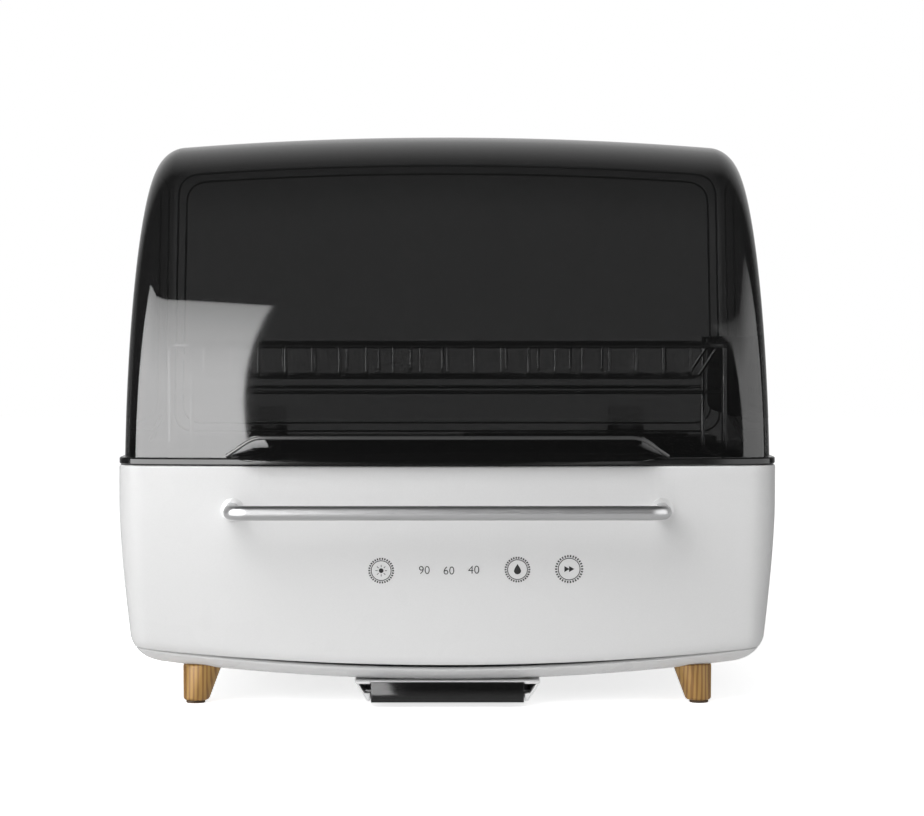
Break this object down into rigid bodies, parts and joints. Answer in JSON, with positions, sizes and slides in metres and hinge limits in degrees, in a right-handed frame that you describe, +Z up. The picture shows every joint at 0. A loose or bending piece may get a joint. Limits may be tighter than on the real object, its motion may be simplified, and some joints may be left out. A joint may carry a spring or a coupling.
{
  "type": "dish sterilizer cabinet",
  "caption": "Countertop dish sterilizer and dryer: smoked dome lid over a wire dish rack, white base with a full-width drawer, drip tray and splayed wooden feet.",
  "frame": {"origin": "on the table under the middle of the whole box, closed", "axes": "+X to the right seen from the front, the front faces -Y, +Z up"},
  "size_m": [0.48, 0.3822, 0.4283],
  "materials": {
    "white_shell": "glossy white moulding",
    "black_deck": "glossy black moulding",
    "black_plastic": "satin black",
    "smoked_dome": "clear smoked, polished",
    "smoked_tray": "dark smoked, polished",
    "grey_plastic": "satin",
    "wood": "golden brown, satin lacquer",
    "rubber": "matt",
    "zinc_steel": "zinc plated",
    "brushed_steel": "brushed along its length",
    "polished_steel": "polished",
    "heater_ceramic": "matt",
    "lamp_glass": "clear quartz tube",
    "circuit_board": "green solder mask"
  },
  "bodies": {
    "cabinet": {"base_pan": "white_shell", "body_shell": "white_shell", "rear_cover": "white_shell", "bulkhead": "grey_plastic", "deck_tray": "black_deck", "lamp_guard": "black_plastic", "drain_pipe": "grey_plastic", "drip_bracket": "white_shell", "foot_1": "wood", "foot_2": "wood", "foot_3": "wood", "foot_4": "wood", "foot_pad_1": "rubber", "foot_pad_2": "rubber", "foot_pad_3": "rubber", "foot_pad_4": "rubber", "cover_screw_1": "zinc_steel", "cover_screw_2": "zinc_steel", "cover_screw_3": "zinc_steel", "cover_screw_4": "zinc_steel", "slide_rail_left": "zinc_steel", "slide_rail_right": "zinc_steel", "fan_housing": "black_plastic", "fan_motor": "zinc_steel", "heater_core": "heater_ceramic", "uv_lamp": "lamp_glass", "lamp_holder_left": "grey_plastic", "lamp_holder_right": "grey_plastic", "power_board": "circuit_board", "power_inlet": "black_deck", "lid_switch": "black_deck", "hinge_bracket_left": "black_plastic", "hinge_bracket_right": "black_plastic", "hinge_pin_left": "zinc_steel", "hinge_pin_right": "zinc_steel"},
    "lid": {"lid": "smoked_dome", "lid_strap_left": "polished_steel", "lid_strap_right": "polished_steel", "hinge_leaf_left": "black_plastic", "hinge_leaf_right": "black_plastic"},
    "drawer": {"drawer_front": "white_shell", "drawer_box": "grey_plastic", "drawer_grid": "brushed_steel", "drawer_handle": "brushed_steel", "handle_rosette_left": "polished_steel", "handle_rosette_right": "polished_steel", "handle_screw_left": "zinc_steel", "handle_screw_right": "zinc_steel", "slide_runner_left": "zinc_steel", "slide_runner_right": "zinc_steel", "touch_board": "circuit_board"},
    "drip_tray": {"drip_tray": "smoked_tray"},
    "fan_rotor": {"fan_impeller": "black_plastic"},
    "plunger": {"switch_plunger": "grey_plastic"},
    "rack": {"dish_rack": "polished_steel"},
    "basket": {"cutlery_basket": "black_plastic"}
  },
  "joints": [
    {"name": "lid_hinge", "type": "hinge", "parent": "cabinet", "child": "lid", "pos_m": [0, 0.18615, 0.188], "axis": [-1, 0, 0], "range_deg": [0, 85]},
    {"name": "drawer_slide", "type": "slide", "parent": "cabinet", "child": "drawer", "axis": [0, -1, 0], "range_m": [0, 0.17]},
    {"name": "drip_tray_slide", "type": "slide", "parent": "cabinet", "child": "drip_tray", "axis": [0, -1, 0], "range_m": [0, 0.18]},
    {"name": "fan_spin", "type": "hinge", "parent": "cabinet", "child": "fan_rotor", "pos_m": [-0.062, 0.13265, 0.098], "axis": [0, 1, 0], "continuous": true},
    {"name": "switch_press", "type": "slide", "parent": "cabinet", "child": "plunger", "axis": [0, 0, -1], "range_m": [0, 0.002], "stiffness_N_per_m": 150},
    {"name": "rack_lift", "type": "slide", "parent": "cabinet", "child": "rack", "axis": [0, 0, 1], "range_m": [0, 0.03]},
    {"name": "basket_lift", "type": "slide", "parent": "rack", "child": "basket", "axis": [0, 0, 1], "range_m": [0, 0.02]}
  ]
}
